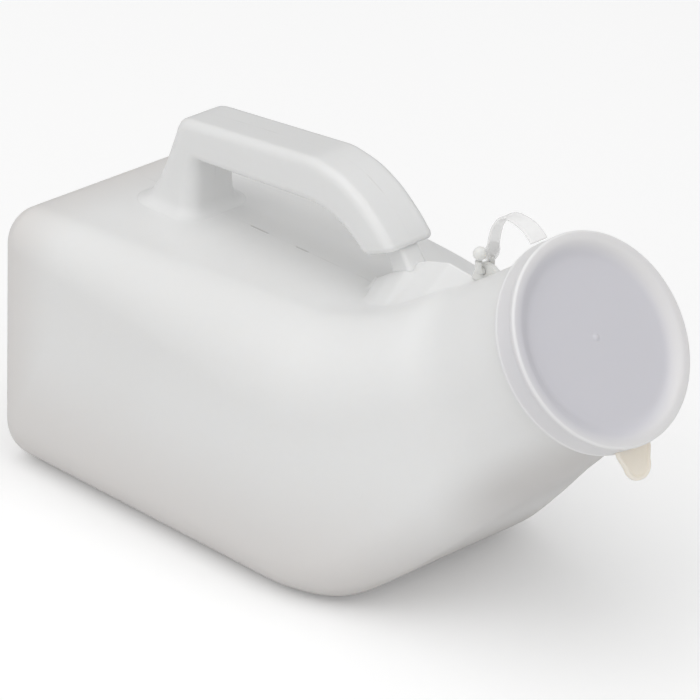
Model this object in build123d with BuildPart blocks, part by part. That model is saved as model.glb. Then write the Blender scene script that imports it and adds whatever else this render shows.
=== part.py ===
"""Reusable male urinal: a blow-moulded polyethylene bottle with a tethered snap lid.

Millimetres, +Z up.  The origin is the centre of the flat resting face, +X runs
from the back wall to the mouth, and Y = 0 is the mould's parting plane.
"""

from build123d import *

import os
from math import cos, radians, sin

os.makedirs("parts", exist_ok=True)

# ---- chamber -------------------------------------------------------------
WALL = 1.2  # blow-moulded wall
CHAMBER_WIDTH = 100.0
BODY_HEIGHT = 85.5
BACK_X = -72.0  # outside of the back wall
SHOULDER_X = 34.0  # where the straight chamber starts to turn into the neck
BACK_TOP_RADIUS = 11.0  # the top's long edges, growing softer towards the shoulder
SHOULDER_TOP_RADIUS = 24.0
BOTTOM_EDGE_RADIUS = 15.0
BACK_EDGE_RADIUS = 8.0

# ---- neck and mouth ------------------------------------------------------
NECK_TILT = 35.8  # degrees above the resting face
MOUTH_X = 132.3  # centre of the closed lid's front plane
MOUTH_Z = 101.2
NECK_RADIUS = 29.5
NECK_START = -16.0  # the neck tube's lower end, measured along the neck from the lid's front
NECK_END = -9.5  # the neck tube's upper end, where the lip starts to flare
LIP_RADIUS = 30.8
LIP_WALL = 0.9
LIP_TOP = -1.5
LIP_FLARE_END = -5.0
LIP_BEVEL = 0.3

# ---- handle --------------------------------------------------------------
HANDLE_WIDTH = 19.5
HANDLE_EDGE_RADIUS = 3.0
GRIP_SPLIT_Z = 100.0  # the leg below, the grip above
LEG_FRONT_X = -28.6
# The leg's flared foot: (height, back x, front x, width, corner radius).
FOOT_SECTIONS = [
    (83.1, -51.4, -25.2, 31.0, 7.5),
    (86.5, -49.0, -27.1, 26.0, 5.8),
    (95.0, -43.8, -28.6, 18.3, 2.8),
]
STEM_WIDTH = 7.5
STEM_REAR = [(46.5, 101.6), (48.1, 99.1), (51.2, 94.2), (52, 92)]
STEM_FRONT = [(60, 92), (58.1, 97.9), (54.5, 102.7), (52.5, 105)]
# Points of the handle's side view, as (x, z).
LEG_HEEL = (-52, 78)
LEG_REAR = [(-48.4, 87), (-42.8, 99.6)]
GRIP_REAR = (-36.0, 116.0)
GRIP_TOP_END = (22, 122.2)
GRIP_TOP_BEND = (43, 115.6)
GRIP_NOSE = (56.3, 103.8)
GRIP_CHIN = (44.3, 98.7)
GRIP_UNDER_BEND = (35, 104.9)
GRIP_UNDER_END = (22, 108)
GRIP_ARMPIT = (LEG_FRONT_X, 104.2)
HANDLE_CORNERS = [
    (GRIP_ARMPIT, 4),
    (GRIP_REAR, 5),
    (GRIP_NOSE, 3.5),
    (GRIP_CHIN, 3.5),
    (GRIP_TOP_END, 20),
    (GRIP_UNDER_END, 12),
]

# ---- shoulder boss and tether lug ---------------------------------------
BOSS_FLOOR_Z = 80.0  # inside the wall, which cuts the boss off
PLINTH_CREST = [(45.5, 90.3), (51.5, 94.4), (57.3, 97.0), (68.0, 97.8)]  # (x, z), under the stem
PLINTH_FLAT = 4.7  # half width of its crest
PLINTH_SPREAD = 1.0  # how far each side runs out for each millimetre of height
RIDGE_CREST = [(57.5, 98.2), (61.7, 100.4), (70.6, 102.9), (85.0, 101.7)]  # from the stem to the lug
RIDGE_FLAT = 0.8
RIDGE_SPREAD = 1.25
LUG_OUTLINE = [(79, 96), (80.2, 101), (82.6, 107.4), (85, 108.6), (88.6, 108.3), (92.5, 106)]
LUG_THICKNESS = 1.6
LUG_CORNER_RADIUS = 0.8
LUG_HOLE_X = 84.9
LUG_HOLE_Z = 105.9
LUG_HOLE_RADIUS = 1.3

# ---- lid -----------------------------------------------------------------
LID_WALL = 1.2
RIM_RADIUS = 32.4
SKIRT_EDGE = -8.8
SKIRT_BORE = 31.3
SKIRT_STEP = 0.3  # how far the skirt stands in from the rim
SKIRT_BEAD = 0.25  # how far the skirt's back edge stands out
SKIRT_STEP_SLOPE = 0.6  # along the neck, where the skirt steps in
BEAD_LENGTH = 1.2
BEAD_ROUNDING = 0.3
RIM_INNER_BEVEL = [(0, -0.5), (0.6, -0.1), (1.4, 0)]  # outwards from the recess, along the neck
RIM_OUTER_BEVEL = [(1.2, 0), (0.35, -0.35)]  # inwards from the rim's edge, along the neck
PLUG_TAPER = 0.4
RECESS_RADIUS = 27.4
RECESS_DEPTH = 2.5
GATE_NUB_RADIUS = 0.9
GATE_NUB_HEIGHT = 0.35
GATE_ABOVE_AXIS = 1.2
TAB_ROOT = -6.0  # the tab's upper face at the skirt, along the neck
TAB_DROOP = 12.0  # degrees, backwards
TAB_ROOT_WIDTH = 13.4
TAB_TIP_WIDTH = 10.2
TAB_REACH = 41.3  # from the lid's axis to the tip
TAB_THICKNESS = 1.2
TAB_OVERLAP = 2.0  # of its blank with the skirt, which cuts it to the skirt's round
TAB_TIP_FLAT = 0.5  # half of the straight piece left between the tip's round corners
TAB_BORDER = 1.1
TAB_BORDER_HEIGHT = 0.5

# ---- tether --------------------------------------------------------------
STRAP_THICKNESS = 0.9
STRAP_ROOT_DEPTH = 0.3  # past the skirt's edge, along the neck
STRAP_ROOT_OUTSIDE = 1.2  # of the skirt's bore
STRAP_BLANK_WIDTH = 7.0  # before its outline is cut from above
PAD_RADIUS = 3.2
STUD_RADIUS = 1.1
STUD_BEND = 1.7
BALL_RADIUS = 2.1
STUD_REACH = 2.7  # of the ball and of the pad to either side of the lug
STUD_TOP_Z = 111.0
STUD_END_INSIDE = 0.5  # how far the pin's ends stop short of that height
BALL_RISE = 1.1  # of the ball's centre above the pin's end
# The strap's middle line in the side view, from the pad to the lid, and its outline from above.
STRAP_ROUTE = [(84.9, 111), (85.9, 116.5), (88.2, 122), (92.5, 125.6), (98, 126.4), (103, 125)]
STRAP_ARCH_ROOM = 20.0  # above the stud's top, more than the arch's rise
STRAP_PLAN_NEAR = [(82, 0.1), (88, 0.1), (97, -2.6), (106, -3.4), (112, -3.4)]
STRAP_PLAN_FAR = [(112, 3.4), (106, 3.4), (97, 3.4), (88, 5.3), (82, 5.3)]

TILT = radians(NECK_TILT)
ALONG = Vector(cos(TILT), 0, sin(TILT))  # out of the mouth
ACROSS = Vector(-sin(TILT), 0, cos(TILT))  # from the neck's axis to its upper side
MOUTH = Vector(MOUTH_X, 0, MOUTH_Z)
NECK_AXIS = Axis(MOUTH, ALONG)


def neck_point(along, across):
    """A point of the middle plane, given along and across the neck."""
    return MOUTH + ALONG * along + ACROSS * across


def neck_plane(along):
    """A plane square to the neck, whose local y points to the neck's upper side."""
    return Plane(origin=neck_point(along, 0), x_dir=(0, 1, 0), z_dir=ALONG)


def profile_plane():
    """The neck's middle plane: local x across the neck, local y along it."""
    return Plane(origin=MOUTH, x_dir=ACROSS, z_dir=ACROSS.cross(ALONG))


# ---- the bottle's wall ---------------------------------------------------
# Each section hangs between a top and a bottom point of the side view:
# (top point, bottom point, half width, top corner radius, bottom corner radius).
SECTIONS = [
    (
        (SHOULDER_X, BODY_HEIGHT),
        (SHOULDER_X, 0),
        CHAMBER_WIDTH / 2,
        SHOULDER_TOP_RADIUS,
        BOTTOM_EDGE_RADIUS,
    ),
    ((44, BODY_HEIGHT), (51, 0), 49.2, 25.0, 15.0),
    ((54, 87.2), (66, 2.0), 45.8, 26.5, 15.5),
    ((64, 91.4), (80.5, 12.0), 41.2, 27.5, 15.5),
    ((74, 97.4), (98, 28.6), 35.6, 28.5, 17.0),
]
# Sections square to the neck's axis: (along, above the axis, below it, half width, radii).
NECK_SECTIONS = [
    (-40.0, 29.6, 34.0, 30.4, 29.0, 24.0),
    (-26.0, 29.5, 31.8, 29.6, 29.2, 27.0),
    (NECK_START, 29.5, 30.0, 29.5, 29.3, 29.2),
]


def wall_sections():
    """All sections from the shoulder to the neck tube, as plane, height, half width and radii."""
    found = []
    for top, bottom, half_width, top_radius, bottom_radius in SECTIONS:
        high = Vector(top[0], 0, top[1])
        low = Vector(bottom[0], 0, bottom[1])
        up = (high - low).normalized()
        place = Plane(origin=(high + low) * 0.5, x_dir=(0, 1, 0), z_dir=Vector(0, 1, 0).cross(up))
        found.append((place, (high - low).length, half_width, top_radius, bottom_radius))
    for along, above, below, half_width, top_radius, bottom_radius in NECK_SECTIONS:
        middle = neck_point(along, (above - below) / 2)
        place = Plane(origin=middle, x_dir=(0, 1, 0), z_dir=ALONG)
        found.append((place, above + below, half_width, top_radius, bottom_radius))
    return found


def section_face(place, height, half_width, top_radius, bottom_radius, inset):
    """A rectangle with large top and bottom corner radii, drawn in by inset."""
    with BuildSketch(place) as section:
        Rectangle(2 * (half_width - inset), height - 2 * inset)
        rows = section.vertices().group_by(Axis.Y)
        fillet(rows[-1], top_radius - inset)
        rows = section.vertices().group_by(Axis.Y)
        fillet(rows[0], bottom_radius - inset)
    return section.sketch.faces()[0]


def chamber_form(inset):
    """The straight chamber with its closed back end, drawn in by inset on every side."""
    front = section_face(*wall_sections()[0], inset)
    _, height, half_width, _, bottom_radius = wall_sections()[0]
    back_plane = Plane(origin=(BACK_X + inset, 0, height / 2), x_dir=(0, 1, 0), z_dir=(1, 0, 0))
    with BuildPart() as form:
        loft([section_face(back_plane, height, half_width, BACK_TOP_RADIUS, bottom_radius, inset), front])
        fillet(form.faces().sort_by(Axis.X)[0].edges(), BACK_EDGE_RADIUS - inset)
    return form.part


def shoulder_form(inset):
    """From the chamber's front end up to the neck tube, drawn in by inset on every side."""
    with BuildPart() as form:
        loft([section_face(*section, inset) for section in wall_sections()])
        split(bisect_by=Plane.XY.offset(inset), keep=Keep.TOP)
    return form.part


def handle_form(inset):
    """The handle's leg and grip as one bent bar, drawn in by inset on every side."""
    with BuildPart() as form:
        with BuildSketch(Plane.XZ) as side:
            with BuildLine():
                rear = Polyline(LEG_HEEL, *LEG_REAR, GRIP_REAR, GRIP_TOP_END)
                bend = ThreePointArc(rear @ 1, GRIP_TOP_BEND, GRIP_NOSE)
                end = Line(bend @ 1, GRIP_CHIN)
                under = ThreePointArc(end @ 1, GRIP_UNDER_BEND, GRIP_UNDER_END)
                Polyline(under @ 1, GRIP_ARMPIT, (LEG_FRONT_X, LEG_HEEL[1]), rear @ 0)
            make_face()
            for corner, radius in HANDLE_CORNERS:
                fillet(side.vertices().sort_by_distance(corner)[0], radius)
            if inset:
                offset(amount=-inset)
        extrude(amount=HANDLE_WIDTH / 2 - inset, both=True)
        edges = form.faces().filter_by(Axis.Y).edges()
        long_edges = edges - edges.group_by(Axis.Z)[0]
        fillet(long_edges, HANDLE_EDGE_RADIUS - inset)
    return form.part


def foot_form(inset):
    """The leg's flared foot, drawn in by inset on every side."""
    faces = []
    for height, back, front, width, corner in FOOT_SECTIONS:
        with BuildSketch(Plane(origin=((back + front) / 2, 0, height))) as level:
            RectangleRounded(front - back - 2 * inset, width - 2 * inset, corner - inset)
        faces.append(level.sketch.faces()[0])
    with BuildPart() as form:
        loft(faces)
    return form.part


def crest_form(crest, flat, spread):
    """A hipped block whose crest follows the (x, z) points and whose sides run down to the wall."""
    faces = []
    for x, z in crest:
        foot = flat + spread * (z - BOSS_FLOOR_Z)
        with BuildSketch(Plane(origin=(x, 0, 0), x_dir=(0, 1, 0), z_dir=(1, 0, 0))) as cut:
            Polygon((-foot, BOSS_FLOOR_Z), (foot, BOSS_FLOOR_Z), (flat, z), (-flat, z), align=None)
        faces.append(cut.sketch.faces()[0])
    with BuildPart() as form:
        loft(faces, ruled=True)
    return form.part


def ring(*outline):
    """A closed (radius, along) outline turned about the neck's axis."""
    with BuildPart() as turned:
        with BuildSketch(profile_plane()):
            Polygon(*outline, align=None)
        revolve(axis=NECK_AXIS)
    return turned.part


chamber_outside = chamber_form(0)
shoulder_outside = shoulder_form(0)
handle_outside = handle_form(0) + foot_form(0)

# ---- the bottle's pieces -------------------------------------------------
# The handle is blown with the chamber, so it is open to it at the foot.
with BuildPart() as chamber:
    add(chamber_outside)
    add(chamber_form(WALL), mode=Mode.SUBTRACT)
    add(foot_form(WALL), mode=Mode.SUBTRACT)
chamber.part.label = "chamber"
export_step(chamber.part, "parts/chamber.step")

with BuildPart() as shoulder:
    add(shoulder_outside)
    add(shoulder_form(WALL), mode=Mode.SUBTRACT)
shoulder.part.label = "shoulder"
export_step(shoulder.part, "parts/shoulder.step")

with BuildPart() as bottle_handle:
    add(handle_outside)
    add(handle_form(WALL) + foot_form(WALL), mode=Mode.SUBTRACT)
    split(bisect_by=Plane.XY.offset(BODY_HEIGHT), keep=Keep.TOP)

with BuildPart() as handle_leg:
    add(bottle_handle.part)
    split(bisect_by=Plane.XY.offset(GRIP_SPLIT_Z), keep=Keep.BOTTOM)
    split(bisect_by=Plane.YZ, keep=Keep.BOTTOM)
handle_leg.part.label = "handle_leg"
export_step(handle_leg.part, "parts/handle_leg.step")

with BuildPart() as handle_grip:
    add(bottle_handle.part)
    add(handle_leg.part, mode=Mode.SUBTRACT)
handle_grip.part.label = "handle_grip"
export_step(handle_grip.part, "parts/handle_grip.step")

# A plinth under the stem, and a ridge from there to the lug.
with BuildPart() as shoulder_boss:
    add(crest_form(PLINTH_CREST, PLINTH_FLAT, PLINTH_SPREAD))
    add(crest_form(RIDGE_CREST, RIDGE_FLAT, RIDGE_SPREAD))
    add(chamber_outside, mode=Mode.SUBTRACT)
    add(shoulder_outside, mode=Mode.SUBTRACT)
shoulder_boss.part.label = "shoulder_boss"
export_step(shoulder_boss.part, "parts/shoulder_boss.step")

# The solid post that ties the grip's front end to the boss.
with BuildPart() as handle_stem:
    with BuildSketch(Plane.XZ):
        Polygon(*STEM_REAR, *STEM_FRONT, align=None)
    extrude(amount=STEM_WIDTH / 2, both=True)
    add(handle_outside, mode=Mode.SUBTRACT)
    add(shoulder_boss.part, mode=Mode.SUBTRACT)
handle_stem.part.label = "handle_stem"
export_step(handle_stem.part, "parts/handle_stem.step")

# ---- neck, lip and lid, turned about the neck's axis ----------------------
neck_bore = NECK_RADIUS - WALL
with BuildPart() as bottle_neck:
    add(
        ring(
            (neck_bore, NECK_START),
            (NECK_RADIUS, NECK_START),
            (NECK_RADIUS, NECK_END),
            (neck_bore, NECK_END),
        )
    )
bottle_neck.part.label = "bottle_neck"
export_step(bottle_neck.part, "parts/bottle_neck.step")

# The lip flares outwards, so that the lid's skirt snaps behind it.
with BuildPart() as mouth_lip:
    add(
        ring(
            (neck_bore, NECK_END),
            (NECK_RADIUS, NECK_END),
            (LIP_RADIUS, LIP_FLARE_END),
            (LIP_RADIUS, LIP_TOP - LIP_BEVEL),
            (LIP_RADIUS - LIP_BEVEL, LIP_TOP),
            (LIP_RADIUS - LIP_WALL, LIP_TOP),
            (LIP_RADIUS - LIP_WALL, LIP_FLARE_END),
        )
    )
mouth_lip.part.label = "mouth_lip"
export_step(mouth_lip.part, "parts/mouth_lip.step")

# The annulus that caps the lip, with a rounded front bead.
recess_floor = -RECESS_DEPTH
skirt_outside = RIM_RADIUS - SKIRT_STEP
with BuildPart() as lid_rim:
    add(
        ring(
            (RECESS_RADIUS, -LID_WALL),
            *[(RECESS_RADIUS + out, along) for out, along in RIM_INNER_BEVEL],
            *[(RIM_RADIUS - inwards, along) for inwards, along in RIM_OUTER_BEVEL],
            (RIM_RADIUS, -LID_WALL),
        )
    )
lid_rim.part.label = "lid_rim"
export_step(lid_rim.part, "parts/lid_rim.step")

with BuildPart() as lid_skirt:
    add(
        ring(
            (SKIRT_BORE, -LID_WALL),
            (RIM_RADIUS, -LID_WALL),
            (RIM_RADIUS, -LID_WALL - SKIRT_STEP_SLOPE),
            (skirt_outside, -LID_WALL - 2 * SKIRT_STEP_SLOPE),
            (skirt_outside, SKIRT_EDGE + BEAD_LENGTH),
            (skirt_outside + SKIRT_BEAD, SKIRT_EDGE + BEAD_LENGTH - BEAD_ROUNDING),
            (skirt_outside + SKIRT_BEAD, SKIRT_EDGE + BEAD_ROUNDING),
            (skirt_outside, SKIRT_EDGE),
            (SKIRT_BORE, SKIRT_EDGE),
        )
    )
lid_skirt.part.label = "lid_skirt"
export_step(lid_skirt.part, "parts/lid_skirt.step")

# The wall of the recess, which plugs the mouth.
with BuildPart() as lid_plug:
    add(
        ring(
            (RECESS_RADIUS, -LID_WALL),
            (RECESS_RADIUS, recess_floor - LID_WALL),
            (RECESS_RADIUS + LID_WALL - PLUG_TAPER, recess_floor - LID_WALL),
            (RECESS_RADIUS + LID_WALL, -LID_WALL),
        )
    )
lid_plug.part.label = "lid_plug"
export_step(lid_plug.part, "parts/lid_plug.step")

with BuildPart() as lid_disc:
    with BuildSketch(neck_plane(recess_floor - LID_WALL)):
        Circle(RECESS_RADIUS)
    extrude(amount=LID_WALL)
    with BuildSketch(neck_plane(recess_floor)):
        with Locations((0, GATE_ABOVE_AXIS)):
            Circle(GATE_NUB_RADIUS)
    extrude(amount=GATE_NUB_HEIGHT)
lid_disc.part.label = "lid_disc"
export_step(lid_disc.part, "parts/lid_disc.step")

# The pull tab under the skirt, with its raised border.
droop = radians(TAB_DROOP)
tab_plane = Plane(
    origin=neck_point(TAB_ROOT - TAB_THICKNESS, -RIM_RADIUS),
    x_dir=(0, 1, 0),
    z_dir=ALONG * cos(droop) - ACROSS * sin(droop),
)
tab_length = (TAB_REACH - RIM_RADIUS) / cos(droop)
with BuildPart() as pull_tab:
    with BuildSketch(tab_plane) as tab_outline:
        Polygon(
            (-TAB_ROOT_WIDTH / 2, TAB_OVERLAP),
            (TAB_ROOT_WIDTH / 2, TAB_OVERLAP),
            (TAB_TIP_WIDTH / 2, -tab_length),
            (-TAB_TIP_WIDTH / 2, -tab_length),
            align=None,
        )
        tip = tab_outline.vertices().group_by(Axis.Y)[0]
        fillet(tip, TAB_TIP_WIDTH / 2 - TAB_TIP_FLAT)
    extrude(amount=TAB_THICKNESS)
    with BuildSketch(tab_plane.offset(TAB_THICKNESS)) as border:
        add(tab_outline.sketch_local)
        offset(tab_outline.sketch_local, amount=-TAB_BORDER, mode=Mode.SUBTRACT)
    extrude(amount=TAB_BORDER_HEIGHT)
    add(
        ring((0, 2 * SKIRT_EDGE), (skirt_outside, 2 * SKIRT_EDGE), (skirt_outside, 0), (0, 0)),
        mode=Mode.SUBTRACT,
    )
    add(lid_skirt.part, mode=Mode.SUBTRACT)
pull_tab.part.label = "pull_tab"
export_step(pull_tab.part, "parts/pull_tab.step")

# ---- tether --------------------------------------------------------------
# A flat lug of the parting flange stands on the neck's upper side.
with BuildPart() as tether_lug:
    with BuildSketch(Plane.XZ) as lug_outline:
        Polygon(*LUG_OUTLINE, align=None)
        fillet(lug_outline.vertices().sort_by(Axis.Y)[-3:], LUG_CORNER_RADIUS)
        with Locations((LUG_HOLE_X, LUG_HOLE_Z)):
            Circle(LUG_HOLE_RADIUS, mode=Mode.SUBTRACT)
    extrude(amount=LUG_THICKNESS / 2, both=True)
    add(shoulder_outside, mode=Mode.SUBTRACT)
    add(shoulder_boss.part, mode=Mode.SUBTRACT)
tether_lug.part.label = "tether_lug"
export_step(tether_lug.part, "parts/tether_lug.step")

# A bent pin through the lug's hole carries the ball on one side and the strap's pad on the other.
with BuildPart() as tether_stud:
    with BuildLine(Plane.YZ.offset(LUG_HOLE_X)) as bend:
        down = Line((-STUD_REACH, STUD_TOP_Z - STUD_END_INSIDE), (-STUD_REACH, LUG_HOLE_Z + STUD_BEND))
        first = RadiusArc(down @ 1, (STUD_BEND - STUD_REACH, LUG_HOLE_Z), -STUD_BEND)
        through = Line(first @ 1, (STUD_REACH - STUD_BEND, LUG_HOLE_Z))
        second = RadiusArc(through @ 1, (STUD_REACH, LUG_HOLE_Z + STUD_BEND), -STUD_BEND)
        Line(second @ 1, (STUD_REACH, STUD_TOP_Z - STUD_END_INSIDE))
    with BuildSketch(Plane(origin=bend.wire() @ 0, z_dir=bend.wire() % 0)):
        Circle(STUD_RADIUS)
    sweep(path=bend.wire())
    with Locations((LUG_HOLE_X, -STUD_REACH, STUD_TOP_Z + BALL_RISE)):
        Sphere(BALL_RADIUS)
tether_stud.part.label = "tether_stud"
export_step(tether_stud.part, "parts/tether_stud.step")

# The strap arches from the pad over to the back edge of the skirt, and its outline is cut from above.
strap_root = neck_point(SKIRT_EDGE - STRAP_ROOT_DEPTH, SKIRT_BORE + STRAP_ROOT_OUTSIDE)
with BuildPart() as strap_plan:
    with BuildSketch(Plane.XY.offset(STUD_TOP_Z - PAD_RADIUS)):
        Polygon(*STRAP_PLAN_NEAR, *STRAP_PLAN_FAR, align=None)
    extrude(amount=PAD_RADIUS + STRAP_ARCH_ROOM)

with BuildPart() as tether_strap:
    with BuildSketch(Plane.XZ):
        with BuildLine():
            Spline(*STRAP_ROUTE, (strap_root.X, strap_root.Z))
        trace(line_width=STRAP_THICKNESS)
    extrude(amount=STRAP_BLANK_WIDTH, both=True)
    add(strap_plan.part, mode=Mode.INTERSECT)
    with BuildSketch(Plane.YZ.offset(LUG_HOLE_X - STRAP_THICKNESS / 2)):
        with Locations((STUD_REACH, STUD_TOP_Z)):
            Circle(PAD_RADIUS)
    extrude(amount=STRAP_THICKNESS)
    add(lid_skirt.part, mode=Mode.SUBTRACT)
    add(tether_stud.part, mode=Mode.SUBTRACT)
tether_strap.part.label = "tether_strap"
export_step(tether_strap.part, "parts/tether_strap.step")
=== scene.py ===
"""The looks of a reusable male urinal: a blow-moulded translucent bottle and its tethered snap lid.

Shapes are worked out in millimetres in the part's own frame and written to meshes in metres.
"""

import math

import bpy
import numpy as np
from mathutils import Matrix


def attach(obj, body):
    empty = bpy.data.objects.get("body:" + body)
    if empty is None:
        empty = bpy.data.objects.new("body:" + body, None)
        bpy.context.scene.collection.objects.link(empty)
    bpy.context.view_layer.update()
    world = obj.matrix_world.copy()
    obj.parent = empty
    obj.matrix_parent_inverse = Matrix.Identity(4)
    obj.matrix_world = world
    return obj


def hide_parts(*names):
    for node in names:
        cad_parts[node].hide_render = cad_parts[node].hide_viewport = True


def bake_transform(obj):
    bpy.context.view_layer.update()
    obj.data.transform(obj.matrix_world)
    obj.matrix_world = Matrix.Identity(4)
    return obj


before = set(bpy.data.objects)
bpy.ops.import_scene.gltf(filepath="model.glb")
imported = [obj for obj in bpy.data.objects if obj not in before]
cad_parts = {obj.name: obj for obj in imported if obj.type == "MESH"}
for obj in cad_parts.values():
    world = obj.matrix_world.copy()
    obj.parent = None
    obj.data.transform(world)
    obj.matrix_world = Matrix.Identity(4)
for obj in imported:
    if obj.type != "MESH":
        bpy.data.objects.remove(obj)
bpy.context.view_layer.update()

MM = 0.001

# ---- camera ---------------------------------------------------------------
TARGET = np.array((31.3, 0.0, 59.9))
DISTANCE = 1650.0
AZIMUTH = math.radians(44.5)
ELEVATION = math.radians(26.3)
ROLL = math.radians(1.98)
LENS = 282.86
SENSOR = 36.0

# ---- neck -----------------------------------------------------------------
TILT = math.radians(35.8)
ALONG = np.array((math.cos(TILT), 0.0, math.sin(TILT)))
ACROSS = np.array((-math.sin(TILT), 0.0, math.cos(TILT)))
SIDE = np.array((0.0, 1.0, 0.0))
MOUTH = np.array((132.3, 0.0, 101.2))
WALL = 1.2


def neck_point(along, across, side=0.0):
    """A point given along the neck, towards its upper side and towards +Y."""
    return MOUTH + ALONG * along + ACROSS * across + SIDE * side


# ---- mesh helpers ---------------------------------------------------------
def enclosed(points, faces):
    """Six times the volume inside the faces: above 0 when they face outwards."""
    triangles = [(face[0], b, c) for face in faces for b, c in zip(face[1:], face[2:])]
    corners = np.array(points)[np.array(triangles)]
    return np.einsum("ij,ij->i", corners[:, 0], np.cross(corners[:, 1], corners[:, 2])).sum()


def mesh_object(name, points, faces):
    """A smooth-shaded object in the scene, from points in millimetres."""
    mesh = bpy.data.meshes.new(name)
    mesh.from_pydata((np.array(points) * MM).tolist(), [], faces)
    mesh.validate()
    mesh.shade_smooth()
    obj = bpy.data.objects.new(name, mesh)
    bpy.context.scene.collection.objects.link(obj)
    return obj


def grid_mesh(name, islands):
    """One object from islands of closed rings, each capped at both ends by a fan."""
    points, faces = [], []
    for rings in islands:
        own = []
        base = len(points)
        count = len(rings[0])
        for ring in rings:
            points.extend(ring)
        for row in range(len(rings) - 1):
            a = base + row * count
            b = a + count
            own.extend((a + k, a + (k + 1) % count, b + (k + 1) % count, b + k) for k in range(count))
        for row, flip in ((0, True), (len(rings) - 1, False)):
            middle = len(points)
            points.append(np.mean(rings[row], axis=0))
            a = base + row * count
            for k in range(count):
                face = (a + k, a + (k + 1) % count, middle)
                own.append(face[::-1] if flip else face)
        faces.extend(own if enclosed(points, own) > 0 else [face[::-1] for face in own])
    return mesh_object(name, points, faces)


def turned_mesh(name, profile, count):
    """A closed (radius, along) outline turned about the neck's axis; points on the axis become poles.

    The moulding gate in the middle of the front face sits a little above the axis.
    """
    angles = np.arange(count) * 2 * math.pi / count
    points, faces = [], []
    starts = []
    for radius, along in profile:
        is_pole = radius < 1e-6
        starts.append((len(points), is_pole))
        in_front = along > LID_FRONT_LIMIT
        above = GATE_OFFSET * min(max(GATE_SHARE - radius / GATE_FADE, 0), 1) if in_front else 0.0
        if is_pole:
            points.append(neck_point(along, above))
        else:
            for t in angles:
                points.append(neck_point(along, above + radius * math.cos(t), radius * math.sin(t)))
    for (a, a_pole), (b, b_pole) in zip(starts, starts[1:]):
        for k in range(count):
            n = (k + 1) % count
            if a_pole and not b_pole:
                faces.append((a, b + n, b + k))
            elif b_pole and not a_pole:
                faces.append((a + k, a + n, b))
            elif not a_pole:
                faces.append((a + k, a + n, b + n, b + k))
    if enclosed(points, faces) < 0:
        faces = [face[::-1] for face in faces]
    return mesh_object(name, points, faces)


def mirrored(right, run, at):
    """The right half of an outline read at distances along it, followed by its mirror image."""
    half = np.c_[np.interp(at, run, right[:, 0]), np.interp(at, run, right[:, 1])]
    return np.vstack([half, half[-2:0:-1] * (-1, 1)])


def section_ring(half_width, height, top_radius, bottom_radius, count, crowding=0.0):
    """Points round a rectangle with rounded corners, from the top's middle, as (across, up) pairs.

    crowding above 0 draws the points together near the top.
    """
    largest = min(half_width, height / 2) - 0.01
    top = min(top_radius, largest)
    bottom = min(bottom_radius, largest)
    turn = np.linspace(0, math.pi / 2, 33)
    right = np.vstack(
        [
            [[0, height / 2]],
            np.c_[half_width - top + top * np.sin(turn), height / 2 - top + top * np.cos(turn)],
            np.c_[half_width - bottom + bottom * np.cos(turn), bottom - height / 2 - bottom * np.sin(turn)],
            [[0, -height / 2]],
        ]
    )
    run = np.r_[0, np.cumsum(np.hypot(*np.diff(right, axis=0).T))]
    share = np.linspace(0, 1, count // 2 + 1)
    share = share - crowding / math.pi * np.sin(math.pi * share)
    return mirrored(right, run, share * run[-1])


def placed(ring, middle, up):
    """A section's points in space: its own sideways is Y."""
    return middle + ring[:, :1] * SIDE + ring[:, 1:] * up


PATH_STEP = 0.4


def smooth_path(points, radii, step=PATH_STEP):
    """A dense (x, z) path through points, whose inner corners are rounded by quadratic arcs."""
    points = [np.array(point, float) for point in points]
    path = [points[0]]
    for before, corner, after, radius in zip(points, points[1:], points[2:], radii):
        back = (before - corner) / np.linalg.norm(before - corner)
        ahead = (after - corner) / np.linalg.norm(after - corner)
        half = math.acos(np.clip(back @ ahead, -1, 1)) / 2
        shorter = min(np.linalg.norm(before - corner), np.linalg.norm(after - corner))
        reach = min(radius / math.tan(half), 0.49 * shorter)
        start, end = corner + back * reach, corner + ahead * reach
        for t in np.linspace(0, 1, 13):
            path.append((1 - t) ** 2 * start + 2 * t * (1 - t) * corner + t * t * end)
    path.append(points[-1])
    path = np.array(path)
    run = np.r_[0, np.cumsum(np.linalg.norm(np.diff(path, axis=0), axis=1))]
    at = np.linspace(0, run[-1], max(int(run[-1] / step), 2))
    return np.c_[[np.interp(at, run, path[:, k]) for k in range(path.shape[1])]].T


def smooth_max(a, b, width):
    """The larger of a and b, with the crease between them rounded over width."""
    h = np.clip(0.5 + 0.5 * (a - b) / width, 0, 1)
    return b * (1 - h) + a * h + width * h * (1 - h)


def softened(x, xs, zs, spread=0.5):
    """A polyline read at x with its corners rounded over spread on each side."""
    offsets = np.linspace(-spread, spread, 9)
    return np.mean([np.interp(x + offset, xs, zs) for offset in offsets], axis=0)


# ---- the bottle's skin ----------------------------------------------------
RING_COUNT = 360
CROWDING = 0.35
TOP = 85.5
BACK_X = -72
SHOULDER_X = 34
BACK_EDGE_RADIUS = 8.0
BACK_TOP_RADIUS = 11
SHOULDER_TOP_RADIUS = 24
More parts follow.
